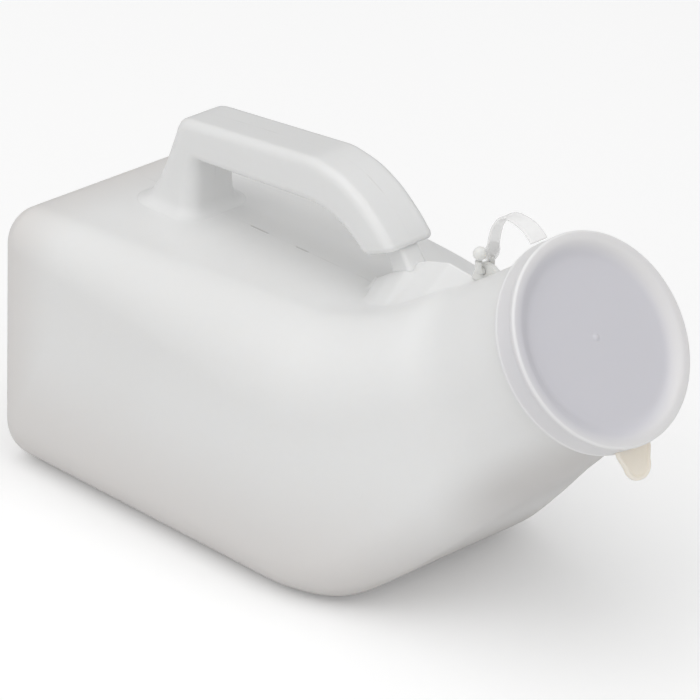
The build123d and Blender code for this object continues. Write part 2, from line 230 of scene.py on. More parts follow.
# Sections from the back to the neck: top x, z, bottom x, z, half width, top and bottom corner radius.
RIBS = []
for x in (BACK_X, -45, -20, 0, 20):
    softening = (SHOULDER_TOP_RADIUS - BACK_TOP_RADIUS) * (x - BACK_X) / (SHOULDER_X - BACK_X)
    RIBS.append((x, TOP, x, 0, 50, BACK_TOP_RADIUS + softening, 15))
RIBS += [
    (SHOULDER_X, TOP, SHOULDER_X, 0, 50, SHOULDER_TOP_RADIUS, 15),
    (44, TOP, 51, 0, 49.2, 25, 15),
    (54, 87.2, 66, 2, 45.8, 26.5, 15.5),
    (64, 91.4, 80.5, 12, 41.2, 27.5, 15.5),
    (74, 97.4, 98, 28.6, 35.6, 28.5, 17),
]
for along, above, below, half_width, top_radius, bottom_radius in (
    (-40, 29.6, 34, 30.4, 29, 24),
    (-26, 29.5, 31.8, 29.6, 29.2, 27),
    (-16, 29.5, 29.6, 29.5, 29.45, 29.45),
):
    high, low = neck_point(along, above), neck_point(along, -below)
    RIBS.append((high[0], high[2], low[0], low[2], half_width, top_radius, bottom_radius))
RIBS = np.array(RIBS, float)
RIB_MIDDLES = (RIBS[:, :2] + RIBS[:, 2:4]) / 2
RIB_RUN = np.r_[0, np.cumsum(np.hypot(*np.diff(RIB_MIDDLES, axis=0).T))]
RIB_SLOPES = np.gradient(RIBS, RIB_RUN, axis=0)
# The gusset: a plinth under the stem and a ridge from there to the lug, as crest lines in (x, z).
PLINTH = ((43.9, 80), (44.6, 84), (45.5, 90.3), (51.5, 94.4), (57.3, 97.0), (67, 97.8), (73, 86))
RIDGE = ((55, 88), (57.5, 98.2), (61.7, 100.4), (70.6, 103.0), (85, 101.6), (89, 92))


def rib_at(run):
    """The section at a distance along the ribs' middle line, by cubic interpolation."""
    i = min(max(np.searchsorted(RIB_RUN, run, side="right") - 1, 0), len(RIB_RUN) - 2)
    gap = RIB_RUN[i + 1] - RIB_RUN[i]
    t = (run - RIB_RUN[i]) / gap
    return (
        (2 * t**3 - 3 * t**2 + 1) * RIBS[i]
        + (t**3 - 2 * t**2 + t) * gap * RIB_SLOPES[i]
        + (3 * t**2 - 2 * t**3) * RIBS[i + 1]
        + (t**3 - t**2) * gap * RIB_SLOPES[i + 1]
    )


def skin_ring(rib, inset, shift=0.0):
    """One section of the skin, drawn in by inset and moved along X by shift."""
    high = np.array((rib[0] + shift, 0, rib[1]))
    low = np.array((rib[2] + shift, 0, rib[3]))
    up = high - low
    height = np.linalg.norm(up)
    up /= height
    corners = max(rib[5] - inset, 2.5), max(rib[6] - inset, 2.5)
    ring = section_ring(rib[4] - inset, height - 2 * inset, *corners, RING_COUNT, CROWDING)
    return placed(ring, (high + low) / 2, up)


def raise_gusset(ring):
    """Lift the skin's upper side over the plinth and the ridge."""
    x, y, z = ring.T
    reach = np.abs(y)
    plinth = softened(x, *zip(*PLINTH)) - np.sqrt(np.maximum(reach - 4.5, 0) ** 2 + 0.08) + 0.28
    ridge = softened(x, *zip(*RIDGE)) - 0.8 * (np.sqrt(y * y + 0.15) - 0.39)
    lifted = smooth_max(smooth_max(plinth, ridge, 0.4), z, 0.8)
    upper = z - (ring[RING_COUNT // 2, 2] + ring[0, 2]) / 2 > 0
    near = (x > 41) & (x < 93) & (reach < 26)
    ring[:, 2] = np.where(near & upper & (lifted > z), lifted, z)
    return ring


# The lip as (radius, along the neck), from the neck's outside over the edge to its inside.
LIP_PROFILE = [
    (29.5, -15), (29.5, -13), (29.5, -11), (29.5, -9.8), (29.6, -9.2), (29.95, -8), (30.4, -6.4),
    (30.7, -5.4), (30.8, -4.6), (30.8, -2.4), (30.75, -1.9), (30.6, -1.6), (30.35, -1.5), (30.1, -1.6),
    (29.95, -1.9), (29.9, -2.4), (29.9, -4.6), (29.8, -5.4), (29.5, -6.4), (28.9, -8), (28.4, -9.3),
    (28.3, -10.5), (28.3, -13), (28.3, -15),
]
LIP_INSIDE = 9  # how many of its points are inside


def skin_stations():
    """Distances along the middle line: wide steps on the straight chamber, fine ones on the shoulder."""
    straight = np.arange(BACK_EDGE_RADIUS, 106, 2.5)
    toe = np.arange(106.5, 122, 0.5)
    rest = np.arange(122, RIB_RUN[-1], 1.0)
    return np.r_[straight, toe, rest]


def bottle_rings():
    """Rings from the back wall's middle, over the outside to the lip and back inside.

    The number returned with them is where the inner ones start.
    """
    rings = []
    back = rib_at(0.0)
    ring = skin_ring(back, BACK_EDGE_RADIUS)
    middle = ring.mean(axis=0)
    rings.extend(middle + (ring - middle) * share for share in (0.02, 0.2, 0.45, 0.7, 0.88, 0.97))
    for turn in np.radians(np.linspace(0, 80, 9)):
        inset = BACK_EDGE_RADIUS * (1 - math.sin(turn))
        rings.append(skin_ring(back, inset, BACK_EDGE_RADIUS * (1 - math.cos(turn))))
    for run in skin_stations():
        ring = skin_ring(rib_at(run), 0.0)
        ring[:, 2] = np.maximum(ring[:, 2], 0.0)
        rings.append(raise_gusset(ring))
    shares = np.linspace(0, 1, RING_COUNT // 2 + 1)
    shares = shares - CROWDING / math.pi * np.sin(math.pi * shares)
    angles = np.r_[shares, 2 - shares[-2:0:-1]] * math.pi
    round_neck = np.cos(angles)[:, None] * ACROSS + np.sin(angles)[:, None] * SIDE
    rings.extend(neck_point(along, 0) + radius * round_neck for radius, along in LIP_PROFILE)
    first_inner = len(rings) - LIP_INSIDE
    inner = np.r_[np.arange(BACK_EDGE_RADIUS, 106, 8.0), np.arange(108, RIB_RUN[-1] - 1, 3.0)]
    for run in inner[::-1]:
        ring = skin_ring(rib_at(run), WALL)
        ring[:, 2] = np.maximum(ring[:, 2], WALL)
        rings.append(ring)
    for turn in np.radians((70, 45, 20, 0)):
        inset = WALL + (BACK_EDGE_RADIUS - WALL) * (1 - math.sin(turn))
        rings.append(skin_ring(back, inset, WALL + (BACK_EDGE_RADIUS - WALL) * (1 - math.cos(turn))))
    ring = skin_ring(back, BACK_EDGE_RADIUS, WALL)
    middle = rings[-1].mean(axis=0)
    rings.extend(middle + (ring - middle) * share for share in (0.7, 0.3, 0.02))
    return rings, first_inner


# ---- the handle -----------------------------------------------------------
HANDLE_COUNT = 112
HALF_GRIP = 9.75
# The leg's core from the chamber's top up: height, back x, front x, half width, corner radius.
LEG = np.array(
    [
        (0.0, -49.6, -28.2, 11.6, 5.4),
        (4.5, -47.2, -28.7, 10.5, 5.2),
        (10.0, -44.3, -28.8, 9.85, 5.0),
        (13.5, -42.9, -28.7, 9.75, 4.8),
    ]
)
# Where it meets the chamber the leg spreads in a fillet.
FOOT_FLARE = 3.3
FOOT_HEIGHTS = (-1.1, -0.5, -0.02, 0.04, 0.1, 0.2, 0.35, 0.55, 0.8, 1.1, 1.5, 2.0, 2.6, 3.6, 5.5, 8.0, 13.5)
OUTER = smooth_path(
    [(-42.9, 99), (-36, 116), (22, 122.2), (33.5, 120.3), (43, 115.6), (50.6, 109.6), (56.3, 103.8)],
    (5.5, 22, 30, 30, 30),
)
INNER = smooth_path(
    [(-28.7, 99), (-28.7, 104.15), (22, 108), (29, 107.2), (35, 104.9), (40.2, 101.8), (44.3, 98.7)],
    (4, 14, 16, 16, 16),
)
# Points of the outer and inner line that face each other, with the corner radius there.
FACING = [
    ((-41.6, 102.3), (-28.7, 100.6), 4.6),
    ((-38.2, 110.6), (-28.3, 102.3), 4.1),
    ((-36.2, 114.4), (-27.5, 103.3), 3.7),
    ((-34.4, 116.0), (-26.4, 103.95), 3.4),
    ((-31.0, 116.5), (-24.2, 104.45), 3.1),
    ((-20, 117.7), (-18.5, 104.9), 3.0),
    ((14, 121.3), (14, 107.4), 3.0),
    ((27, 121.6), (24.5, 107.8), 3.0),
    ((43, 115.6), (35.2, 104.8), 3.0),
    ((52.6, 107.8), (41.6, 100.9), 3.0),
]
GRIP_END_RADIUS = 1.9
RING_GAP = 1.3


def nearest(path, point):
    """The index of the path's sample nearest to the point."""
    return int(np.argmin(((path - np.array(point)) ** 2).sum(axis=1)))


def bar_ring(outer, inner, half_width, radius, inset=0.0):
    """A bar's section between an outer and an inner (x, z) point."""
    high = np.array((outer[0], 0, outer[1]))
    low = np.array((inner[0], 0, inner[1]))
    up = high - low
    height = np.linalg.norm(up)
    up /= height
    corner = max(radius - inset, 0.6)
    ring = section_ring(half_width - inset, height - 2 * inset, corner, corner, HANDLE_COUNT)
    return placed(ring, (high + low) / 2, up)


def leg_rings():
    """The leg, from just under the chamber's top up to where the grip starts."""
    rings = []
    for height in FOOT_HEIGHTS:
        back, front, half_width, radius = (np.interp(height, LEG[:, 0], LEG[:, k]) for k in range(1, 5))
        near_foot = min(max(1 - (height + 0.02) / FOOT_FLARE, 0), 1)
        flare = FOOT_FLARE * (1 - math.sqrt(1 - near_foot**2))
        ends = (back - flare, TOP + height), (front + flare, TOP + height)
        rings.append(bar_ring(*ends, half_width + flare, radius + flare))
    return rings


def grip_rings():
    """The grip, by even steps between the points that face each other."""
    rings = []
    outer_keys = [0] + [nearest(OUTER, a) for a, _, _ in FACING]
    inner_keys = [0] + [nearest(INNER, b) for _, b, _ in FACING]
    radii = [LEG[-1, 4]] + [radius for _, _, radius in FACING]
    lengths = np.diff(outer_keys) * PATH_STEP
    for k, length in enumerate(lengths):
        steps = max(int(length / RING_GAP), 2)
        for t in np.arange(steps) / steps + 1 / steps:
            i = outer_keys[k] + t * (outer_keys[k + 1] - outer_keys[k])
            j = inner_keys[k] + t * (inner_keys[k + 1] - inner_keys[k])
            a = [np.interp(i, np.arange(len(OUTER)), OUTER[:, c]) for c in (0, 1)]
            b = [np.interp(j, np.arange(len(INNER)), INNER[:, c]) for c in (0, 1)]
            rings.append(bar_ring(a, b, HALF_GRIP, radii[k] + t * (radii[k + 1] - radii[k])))
    return rings


def grip_end_rings():
    """The grip's closed end, with a rounded edge."""
    rings = []
    nose, chin = OUTER[-1], INNER[-1]
    across = (nose - chin) / np.linalg.norm(nose - chin)
    ahead = np.array((across[1], -across[0]))
    for turn in np.radians((0, 18, 36, 54, 72, 90)):
        depth = GRIP_END_RADIUS * (1 - math.sin(turn))
        a, b = (
            line[-20:][np.argmin(np.abs((line[-20:] - end) @ ahead + depth))]
            for line, end in ((OUTER, nose), (INNER, chin))
        )
        rings.append(bar_ring(a, b, HALF_GRIP, FACING[-1][2], GRIP_END_RADIUS * (1 - math.cos(turn))))
    last = rings[-1]
    middle = last.mean(axis=0)
    rings.append(middle + (last - middle) * 0.5)
    return rings


# The stem from inside the grip down into the plinth: rear point, front point, half width, radius.
STEM = [
    ((45.6, 103.0), (52.0, 106.0), 3.6, 1.2),
    ((47.0, 100.9), (53.4, 104.2), 3.6, 1.2),
    ((48.2, 98.9), (54.8, 102.3), 3.65, 1.2),
    ((49.6, 96.7), (56.5, 100.1), 3.7, 1.3),
    ((50.7, 95.0), (57.9, 98.3), 3.85, 1.4),
    ((50.9, 94.2), (58.8, 97.3), 4.15, 1.6),
    ((50.7, 93.2), (60.0, 96.2), 4.7, 1.9),
]

# ---- the lid --------------------------------------------------------------
# (radius, along the neck), from the gate nub over the front and the skirt to the disc's inner side.
LID_PROFILE = [
    (0, -2.12), (0.45, -2.14), (0.75, -2.22), (0.95, -2.4), (1.15, -2.49), (1.6, -2.5), (6, -2.5),
    (12, -2.5), (18, -2.5), (22, -2.49), (24.2, -2.46), (25.2, -2.36), (26.0, -2.1), (26.8, -1.68),
    (27.6, -1.16), (28.3, -0.7), (28.9, -0.33), (29.4, -0.11), (29.9, -0.02), (30.4, 0), (31.2, 0),
    (31.7, -0.02), (32.0, -0.1), (32.2, -0.24), (32.33, -0.45), (32.4, -0.8), (32.4, -1.35),
    (32.36, -1.7), (32.22, -1.95), (32.12, -2.2), (32.1, -2.6), (32.1, -4), (32.1, -6), (32.1, -7.4),
    (32.15, -7.75), (32.28, -8), (32.35, -8.3), (32.28, -8.6), (32.05, -8.78), (31.7, -8.8),
    (31.4, -8.7), (31.3, -8.4), (31.3, -6), (31.3, -3), (31.3, -1.7), (31.15, -1.3), (30.8, -1.2),
    (29.4, -1.2), (28.9, -1.25), (28.6, -1.5), (28.4, -2.4), (28.1, -3.3), (27.7, -3.65), (27, -3.7),
    (20, -3.7), (10, -3.7), (0, -3.7),
]
LID_FRONT_LIMIT = -2.6  # along the neck: the disc's front is above it
GATE_OFFSET = 1.2  # the gate nub's height above the neck's axis
GATE_SHARE = 1.36  # full offset out to 0.36 of the fading distance
GATE_FADE = 4.4
TAB_DROOP = math.radians(12)
TAB_OUT = -ACROSS * math.cos(TAB_DROOP) - ALONG * math.sin(TAB_DROOP)
TAB_FACE = ALONG * math.cos(TAB_DROOP) - ACROSS * math.sin(TAB_DROOP)
RIM_RADIUS = 32.4
TAB_BASE = neck_point(-7.2, -RIM_RADIUS)
TAB_LENGTH = 9.0
TAB_ROOT_HALF_WIDTH = 6.7
TAB_TIP_HALF_WIDTH = 5.1
TAB_HIDDEN_RADIUS = 31.7  # how deep its root reaches into the skirt
# Inset from the outline and height above the underside.
TAB_LAYERS = [
    (3.5, 0.0), (1.0, 0.0), (0.35, 0.0), (0.1, 0.1), (0.0, 0.35), (0.0, 1.3), (0.08, 1.55), (0.3, 1.7),
    (0.75, 1.7), (0.98, 1.58), (1.1, 1.35), (1.3, 1.22), (1.6, 1.2), (3.5, 1.2),
]


def tab_outline(inset):
    """The tab's outline as (sideways, outwards), drawn in by inset: a round-ended tongue."""
    root, tip, end = TAB_ROOT_HALF_WIDTH - inset, TAB_TIP_HALF_WIDTH - inset, TAB_LENGTH - inset
    turn = np.linspace(0, math.pi / 2, 15)
    radius = max(tip - 0.3, 0.5)
    hidden = np.linspace(0, root, 7)
    right = np.vstack(
        [
            np.c_[hidden, np.sqrt(TAB_HIDDEN_RADIUS**2 - hidden**2) - RIM_RADIUS],
            [[root - 0.1, 0.6]],
            np.c_[tip - radius + radius * np.cos(turn), end - radius + radius * np.sin(turn)],
            [[0, end]],
        ]
    )
    run = np.r_[0, np.cumsum(np.hypot(*np.diff(right, axis=0).T))]
    return mirrored(right, run, np.linspace(0, run[-1], 41))


def tab_rings():
    """The tongue from its underside over the rounded edge and the raised border to its sunken face."""
    rings = []
    for inset, height in TAB_LAYERS:
        ring = tab_outline(inset)
        rings.append(TAB_BASE + ring[:, :1] * SIDE + ring[:, 1:] * TAB_OUT + height * TAB_FACE)
    return rings


# ---- the tether -----------------------------------------------------------
LUG_X = 84.9
STUD_TOP = 111.0
STUD_REACH = 2.7
STUD_RADIUS = 1.08
STUD_BEND = 1.7
HOLE_Z = 105.9
BALL_RADIUS = 2.1
STRAP_HALF_THICKNESS = 0.42
STRAP_ROUTE = [
    (84.9, 109.4), (85.2, 112), (85.7, 116), (86.5, 119.9),
    (88.9, 123.4), (92.5, 125.7), (97.5, 126.4), (102, 125.5),
]
STRAP_RADII = (4, 14, 14, 9, 9, 9, 9)
STRAP_ROOT = (-8.9, 32.3)  # at the skirt's edge: along and above the neck's axis
STRAP_STEP = 0.5
STRAP_COUNT = 36
# The strap's middle line in Y and its half width, at three stations along X.
STRAP_STATIONS = (88, 97, 106)
STRAP_MIDDLES = (STUD_REACH, 0.4, 0)
STRAP_HALF_WIDTHS = (2.5, 3.0, 3.35)
# The pad at its lower end: radius and place through its thickness.
PAD_PROFILE = [
    (1.2, -0.6), (2.5, -0.55), (3.0, -0.4), (3.2, -0.1), (3.2, 0.2), (3.05, 0.45), (2.6, 0.6), (1.2, 0.66),
]
PAD_COUNT = 40


def tube(path, normal, radius, count=20):
    """Rings round a planar path, whose plane has the given normal."""
    path = np.array(path, float)
    directions = np.gradient(path, axis=0)
    directions /= np.linalg.norm(directions, axis=1)[:, None]
    angles = np.linspace(0, 2 * math.pi, count, endpoint=False)
    rings = []
    for point, direction in zip(path, directions):
        sideways = np.cross(direction, normal)
        rings.append(point + radius * (np.cos(angles)[:, None] * normal + np.sin(angles)[:, None] * sideways))
    return rings


def ball(centre, radius, rows=14, count=24):
    """A sphere of rings."""
    rings = []
    angles = np.linspace(0, 2 * math.pi, count, endpoint=False)
    for t in np.linspace(0.06, math.pi - 0.06, rows):
        ring = np.c_[np.cos(angles) * math.sin(t), np.sin(angles) * math.sin(t), np.full(count, math.cos(t))]
        rings.append(np.array(centre) + radius * ring)
    return rings


def stud_islands():
    """The pin through the lug's hole, bent up on both sides, and the ball on its near end."""
    turn = np.linspace(0, math.pi / 2, 9)
    arc = [(STUD_REACH - STUD_BEND * (1 - math.cos(t)), HOLE_Z + STUD_BEND * (1 - math.sin(t))) for t in turn]
    straight = [(STUD_REACH, z) for z in np.linspace(STUD_TOP - 1.5, HOLE_Z + STUD_BEND + 0.3, 6)]
    side = straight + arc
    path = [(LUG_X, -y, z) for y, z in side]
    path += [(LUG_X, y, HOLE_Z) for y in (-0.6, 0, 0.6)]
    path += [(LUG_X, y, z) for y, z in side[::-1]]
    return [
        tube(path, np.array((1.0, 0, 0)), STUD_RADIUS),
        ball((LUG_X + 0.4, -STUD_REACH, STUD_TOP + 1.1), BALL_RADIUS),
    ]


def strap_ribbon():
    """The strap from the pad over its arch to the skirt's edge."""
    root = neck_point(*STRAP_ROOT)
    route = smooth_path(STRAP_ROUTE + [(root[0], root[2])], STRAP_RADII, STRAP_STEP)
    run = np.arange(len(route)) * STRAP_STEP
    weights = np.exp(-0.5 * (run[:, None] - run[None, :]) ** 2)
    route = (weights @ route) / weights.sum(axis=1)[:, None]
    directions = np.gradient(route, axis=0)
    directions /= np.linalg.norm(directions, axis=1)[:, None]
    ribbon = []
    for (x, z), (dx, dz) in zip(route, directions):
        middle = np.interp(x, STRAP_STATIONS, STRAP_MIDDLES)
        half = np.interp(x, STRAP_STATIONS, STRAP_HALF_WIDTHS)
        ring = section_ring(half, 2 * STRAP_HALF_THICKNESS, 0.3, 0.3, STRAP_COUNT)
        outwards = np.array((-dz, 0, dx))
        ribbon.append(np.array((x, middle, z)) + ring[:, :1] * SIDE + ring[:, 1:] * outwards)
    return ribbon


def strap_pad():
    """The round pad on the pin's far end."""
    angles = np.linspace(0, 2 * math.pi, PAD_COUNT, endpoint=False)
    pad = []
    for radius, depth in PAD_PROFILE:
        across = STUD_REACH + radius * np.cos(angles)
        pad.append(np.c_[np.full(PAD_COUNT, LUG_X + depth), across, STUD_TOP + radius * np.sin(angles)])
    return pad


# ---- materials ------------------------------------------------------------
# Each plastic's lighter and darker tone.
BOTTLE_TONES = (0.835, 0.838, 0.835), (0.805, 0.805, 0.80)
LID_TONES = (0.825, 0.82, 0.82), (0.795, 0.785, 0.79)
TAB_TONES = (1.0, 0.91, 0.81), (0.96, 0.87, 0.77)
STUD_TONES = (0.86, 0.86, 0.84), (0.80, 0.80, 0.78)
STRAP_TONES = (0.99, 0.985, 0.98), (0.96, 0.955, 0.95)
# Local tones: a dark mark for the parting line, painted shade and painted highlights.
MARK_TONE = (0.40, 0.38, 0.36)
# painted shade: a darker, warmer colour towards the back and the bottom
BACK_AND_LOW_SHADE_TONE = (0.715, 0.695, 0.68)
# painted shade under the neck
UNDER_NECK_SHADE_TONE = (0.56, 0.54, 0.525)
# painted highlight lines: on the gusset's crest and on the lid's rim edge and bead
HIGHLIGHT_LINE_TONE = (0.97, 0.97, 0.97)
# painted shade on the lid's disc, for the dark mouth behind it
DISC_SHADE_TONE = (0.685, 0.68, 0.72)
BOTTLE_GLOW = 0.5
GLOW_DEPTH = 0.0012


def new_material(name):
    """A material with its nodes, its links and its shader."""
    material = bpy.data.materials.new(name)
    material.use_nodes = True
    nodes = material.node_tree.nodes
    return material, nodes, material.node_tree.links, nodes["Principled BSDF"]


def add_node(nodes, kind, inputs=None, **settings):
    """A node with its settings and its unlinked input values."""
    node = nodes.new(kind)
    for key, value in settings.items():
        setattr(node, key, value)
    for key, value in (inputs or {}).items():
        node.inputs[key].default_value = value
    return node


def chain(nodes, links, operation, *values):
    """A math node whose inputs are numbers or other nodes' outputs."""
    node = nodes.new("ShaderNodeMath")
    node.operation = operation
    for socket, value in zip(node.inputs, values):
        if isinstance(value, (int, float)):
            socket.default_value = value
        else:
            links.new(value, socket)
    return node.outputs[0]


def eased(nodes, links, value, start, end, low=0.0, high=1.0):
    """low before start, high after end, and a smooth step between them."""
    step = nodes.new("ShaderNodeMapRange")
    step.interpolation_type = "SMOOTHSTEP"
    for key, number in (("From Min", start), ("From Max", end), ("To Min", low), ("To Max", high)):
        step.inputs[key].default_value = number
    links.new(value, step.inputs["Value"])
    return step.outputs["Result"]


def mixed(nodes, links, share, first, second):
    """A colour between first and second, each a colour or an output."""
    mix = nodes.new("ShaderNodeMix")
    mix.data_type = "RGBA"
    links.new(share, mix.inputs["Factor"])
    for key, colour in (("A", first), ("B", second)):
        if isinstance(colour, tuple):
            mix.inputs[key].default_value = (*colour, 1)
        else:
            links.new(colour, mix.inputs[key])
    return mix.outputs["Result"]


def product(nodes, links, first, *others):
    """Several outputs multiplied together."""
    for other in others:
        first = chain(nodes, links, "MULTIPLY", first, other)
    return first


def split_axes(nodes, links, place):
    """A node with a place's X, Y and Z as its outputs."""
    axes = nodes.new("ShaderNodeSeparateXYZ")
    links.new(place, axes.inputs["Vector"])
    return axes


def polyethylene(name, light, dark, roughness, glow, depth, tint=None, relief=None):
    """Natural polyethylene: cloudy, faintly uneven in thickness, with a satin moulded surface.

    light and dark are the colours of thin and thick wall, glow the share of light that scatters inside
    and depth how far it goes, in metres. tint changes the colour from place to place, and relief adds
    raised marks: each gets the nodes, the links, the place and its own input.
    """
    material, nodes, links, shader = new_material(name)
    place = nodes.new("ShaderNodeTexCoord").outputs["Object"]
    cloud = add_node(nodes, "ShaderNodeTexNoise", {"Scale": 10.0, "Detail": 2.0, "Roughness": 0.45})
    fleck = add_node(nodes, "ShaderNodeTexNoise", {"Scale": 420.0, "Detail": 4.0, "Roughness": 0.6})
    grain = add_node(nodes, "ShaderNodeTexNoise", {"Scale": 1100.0, "Detail": 2.0, "Roughness": 0.5})
    for noise in (cloud, fleck, grain):
        links.new(place, noise.inputs["Vector"])
    cloud_part = chain(nodes, links, "MULTIPLY", cloud.outputs["Fac"], 0.85)
    fleck_part = chain(nodes, links, "MULTIPLY", fleck.outputs["Fac"], 0.15)
    thickness = chain(nodes, links, "ADD", cloud_part, fleck_part)
    colour = mixed(nodes, links, eased(nodes, links, thickness, 0.3, 0.7), dark, light)
    if tint:
        colour = tint(nodes, links, place, colour)
    rough = eased(nodes, links, fleck.outputs["Fac"], 0.3, 0.7, roughness - 0.015, roughness + 0.015)
    links.new(rough, shader.inputs["Roughness"])
    slow = add_node(nodes, "ShaderNodeBump", {"Strength": 0.5, "Distance": 0.0006})
    links.new(cloud.outputs["Fac"], slow.inputs["Height"])
    fine = add_node(nodes, "ShaderNodeBump", {"Strength": 0.25, "Distance": 0.00002})
    links.new(grain.outputs["Fac"], fine.inputs["Height"])
    links.new(slow.outputs["Normal"], fine.inputs["Normal"])
    normal = fine.outputs["Normal"]
    if relief:
        height = relief(nodes, links, place)
        marks = add_node(nodes, "ShaderNodeBump", {"Strength": 1.0, "Distance": 0.00022})
        links.new(height, marks.inputs["Height"])
        links.new(normal, marks.inputs["Normal"])
        normal = marks.outputs["Normal"]
        dark_marks = chain(nodes, links, "MULTIPLY", height, 0.35)
        colour = mixed(nodes, links, dark_marks, colour, MARK_TONE)
    links.new(colour, shader.inputs["Base Color"])
    links.new(normal, shader.inputs["Normal"])
    shader.inputs["Subsurface Weight"].default_value = glow
    shader.inputs["Subsurface Radius"].default_value = (1.0, 0.97, 0.92)
    shader.inputs["Subsurface Scale"].default_value = depth
    shader.inputs["Specular IOR Level"].default_value = 0.4
    shader.inputs["IOR"].default_value = 1.5
    return material


def even_foot(material):
    """No scattering close round the handle's foot, where two meshes of one wall meet."""
    nodes, links = material.node_tree.nodes, material.node_tree.links
    axes = split_axes(nodes, links, nodes.new("ShaderNodeTexCoord").outputs["Object"])
    sideways = chain(nodes, links, "ABSOLUTE", axes.outputs["Y"])
    edges = (
        eased(nodes, links, axes.outputs["X"], -0.064, -0.057),
        eased(nodes, links, axes.outputs["X"], -0.021, -0.014, 1.0, 0.0),
        eased(nodes, links, sideways, 0.018, 0.024, 1.0, 0.0),
        eased(nodes, links, axes.outputs["Z"], 0.080, 0.084),
        eased(nodes, links, axes.outputs["Z"], 0.088, 0.095, 1.0, 0.0),
    )
    weight = eased(nodes, links, product(nodes, links, *edges), 0.0, 1.0, BOTTLE_GLOW, 0.0)
    links.new(weight, nodes["Principled BSDF"].inputs["Subsurface Weight"])


def parting_line(nodes, links, place):
    """The parting line along the middle plane: two short dashes and a faint broken ridge."""
    axes = split_axes(nodes, links, place)
    off_middle = chain(nodes, links, "ABSOLUTE", axes.outputs["Y"])
    line = eased(nodes, links, off_middle, 0.0001, 0.0005, 1.0, 0.0)
    patches = add_node(nodes, "ShaderNodeTexNoise", {"Scale": 60.0, "Detail": 1.0})
    links.new(place, patches.inputs["Vector"])
    faint = eased(nodes, links, patches.outputs["Fac"], 0.48, 0.6, 0.04, 0.22)
    along = axes.outputs["X"]
    dashes = []
    for middle, half in ((-0.009, 0.0038), (0.0096, 0.0027)):
        away = chain(nodes, links, "ABSOLUTE", chain(nodes, links, "SUBTRACT", along, middle))
        dashes.append(eased(nodes, links, away, half - 0.0006, half + 0.0006, 1.0, 0.0))
    above = eased(nodes, links, axes.outputs["Z"], 0.080, 0.084)
    below = eased(nodes, links, axes.outputs["Z"], 0.087, 0.088, 1.0, 0.0)
    strong = product(nodes, links, chain(nodes, links, "ADD", *dashes), product(nodes, links, above, below))
    return product(nodes, links, line, chain(nodes, links, "MAXIMUM", faint, strong))


def wall_painted_light(nodes, links, place, colour):
    """Painted shade: a darker, warmer colour at the back and along the bottom, and a duller, darker one under
    the neck; a painted highlight along the gusset's crest.
    """
    axes = split_axes(nodes, links, place)
    # painted shade: darker and warmer towards the bottom and towards the back
    low = eased(nodes, links, axes.outputs["Z"], 0.0, 0.055, 1.0, 0.0)
    back = eased(nodes, links, axes.outputs["X"], -0.074, -0.044, 1.0, 0.0)
    share = chain(nodes, links, "MAXIMUM", low, back)
    colour = mixed(nodes, links, share, colour, BACK_AND_LOW_SHADE_TONE)
    # painted shade: a duller, darker colour on the underside of the neck, towards the mouth
    below = add_node(nodes, "ShaderNodeVectorMath", {1: tuple(ACROSS)}, operation="DOT_PRODUCT")
    links.new(place, below.inputs[0])
    middle = float(MOUTH @ ACROSS) * MM
    under_neck_shade = eased(nodes, links, below.outputs["Value"], middle - 0.031, middle - 0.016, 0.62, 0.0)
    ahead = eased(nodes, links, axes.outputs["X"], 0.096, 0.120)
    colour = mixed(nodes, links, product(nodes, links, under_neck_shade, ahead), colour, UNDER_NECK_SHADE_TONE)
    # painted highlight: a thin light line along the gusset's crest on the middle plane
    sideways = chain(nodes, links, "ABSOLUTE", axes.outputs["Y"])
    off_middle = eased(nodes, links, sideways, 0.0002, 0.0006, 0.7, 0.0)
    from_stem = eased(nodes, links, axes.outputs["X"], 0.0570, 0.0585)
    to_lug = eased(nodes, links, axes.outputs["X"], 0.0860, 0.0890, 1.0, 0.0)
    high = eased(nodes, links, axes.outputs["Z"], 0.0940, 0.0955)
    crest_highlight = product(nodes, links, off_middle, from_stem, to_lug, high)
    return mixed(nodes, links, crest_highlight, colour, HIGHLIGHT_LINE_TONE)


def add_gloss(material, start, end):
    """A thin glossy coat that comes in between two heights and covers all above."""
    nodes, links = material.node_tree.nodes, material.node_tree.links
    axes = split_axes(nodes, links, nodes.new("ShaderNodeTexCoord").outputs["Object"])
    shader = nodes["Principled BSDF"]
    coat = eased(nodes, links, axes.outputs["Z"], start, end, 0.0, 0.4)
    links.new(coat, shader.inputs["Coat Weight"])
    shader.inputs["Coat Roughness"].default_value = 0.09
    shader.inputs["Coat IOR"].default_value = 1.45


